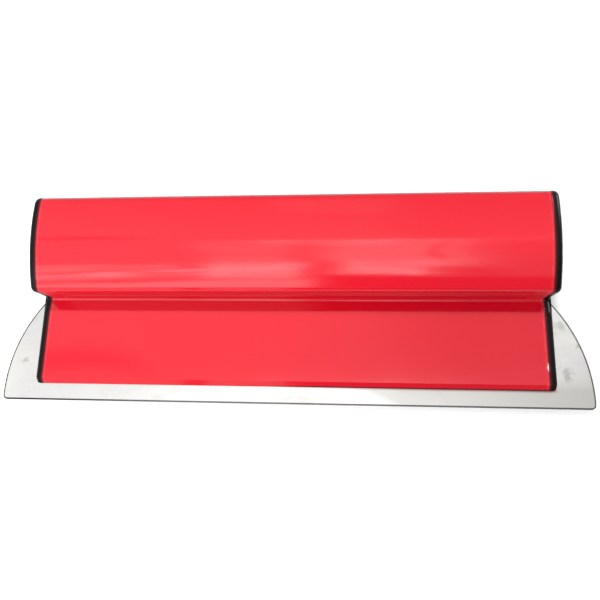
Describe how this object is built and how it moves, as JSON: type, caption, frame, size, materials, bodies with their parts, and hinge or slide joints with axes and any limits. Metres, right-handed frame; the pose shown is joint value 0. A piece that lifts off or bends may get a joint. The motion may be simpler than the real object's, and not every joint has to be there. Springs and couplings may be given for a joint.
{
  "type": "skimming blade",
  "caption": "Two-handed smoothing spatula for plaster and filler: painted extruded grip, black end caps and a thin steel blade clamped in the jaw.",
  "frame": {"origin": "centre of the bounding box on the surface that the tool lies on, under its back", "axes": "+X along the blade's length, +Y from the blade's edge towards the grip, +Z from the back to the front face"},
  "size_m": [0.4, 0.1386, 0.04],
  "materials": {
    "red_paint": "gloss red powder coat on an extrusion",
    "blade_steel": "finely brushed stainless spring steel",
    "cap_plastic": "moulded black plastic, satin",
    "bar_aluminium": "plain mill finish",
    "grub_steel": "black oxide",
    "screw_zinc": "bright zinc plate"
  },
  "bodies": {
    "handle": {"handle_extrusion": "red_paint", "end_cap_left": "cap_plastic", "cap_screw_left_lower": "screw_zinc", "cap_screw_left_upper": "screw_zinc", "end_cap_right": "cap_plastic", "cap_screw_right_lower": "screw_zinc", "cap_screw_right_upper": "screw_zinc"},
    "blade": {"blade": "blade_steel"},
    "clamp_bar": {"clamp_bar": "bar_aluminium"},
    "clamp_screw_1": {"clamp_screw_1": "grub_steel"},
    "clamp_screw_2": {"clamp_screw_2": "grub_steel"},
    "clamp_screw_3": {"clamp_screw_3": "grub_steel"},
    "clamp_screw_4": {"clamp_screw_4": "grub_steel"},
    "clamp_screw_5": {"clamp_screw_5": "grub_steel"},
    "clamp_screw_6": {"clamp_screw_6": "grub_steel"},
    "clamp_screw_7": {"clamp_screw_7": "grub_steel"}
  },
  "joints": [
    {"name": "blade_slide", "type": "slide", "parent": "handle", "child": "blade", "axis": [0, -1, 0], "range_m": [0, 0.055]},
    {"name": "clamp_release", "type": "slide", "parent": "handle", "child": "clamp_bar", "axis": [0, 0, -1], "range_m": [0, 0.0007]},
    {"name": "clamp_screw_1_turn", "type": "hinge", "parent": "clamp_bar", "child": "clamp_screw_1", "pos_m": [-0.15, -0.0466, 0], "axis": [0, 0, -1], "range_deg": [0, 315]},
    {"name": "clamp_screw_2_turn", "type": "hinge", "parent": "clamp_bar", "child": "clamp_screw_2", "pos_m": [-0.1, -0.0466, 0], "axis": [0, 0, -1], "range_deg": [0, 315]},
    {"name": "clamp_screw_3_turn", "type": "hinge", "parent": "clamp_bar", "child": "clamp_screw_3", "pos_m": [-0.05, -0.0466, 0], "axis": [0, 0, -1], "range_deg": [0, 315]},
    {"name": "clamp_screw_4_turn", "type": "hinge", "parent": "clamp_bar", "child": "clamp_screw_4", "pos_m": [0, -0.0466, 0], "axis": [0, 0, -1], "range_deg": [0, 315]},
    {"name": "clamp_screw_5_turn", "type": "hinge", "parent": "clamp_bar", "child": "clamp_screw_5", "pos_m": [0.05, -0.0466, 0], "axis": [0, 0, -1], "range_deg": [0, 315]},
    {"name": "clamp_screw_6_turn", "type": "hinge", "parent": "clamp_bar", "child": "clamp_screw_6", "pos_m": [0.1, -0.0466, 0], "axis": [0, 0, -1], "range_deg": [0, 315]},
    {"name": "clamp_screw_7_turn", "type": "hinge", "parent": "clamp_bar", "child": "clamp_screw_7", "pos_m": [0.15, -0.0466, 0], "axis": [0, 0, -1], "range_deg": [0, 315]}
  ],
  "couplings": [
    {"joint": "clamp_screw_1_turn", "follows": "clamp_release", "rad_per_m": 7854},
    {"joint": "clamp_screw_2_turn", "follows": "clamp_release", "rad_per_m": 7854},
    {"joint": "clamp_screw_3_turn", "follows": "clamp_release", "rad_per_m": 7854},
    {"joint": "clamp_screw_4_turn", "follows": "clamp_release", "rad_per_m": 7854},
    {"joint": "clamp_screw_5_turn", "follows": "clamp_release", "rad_per_m": 7854},
    {"joint": "clamp_screw_6_turn", "follows": "clamp_release", "rad_per_m": 7854},
    {"joint": "clamp_screw_7_turn", "follows": "clamp_release", "rad_per_m": 7854}
  ]
}
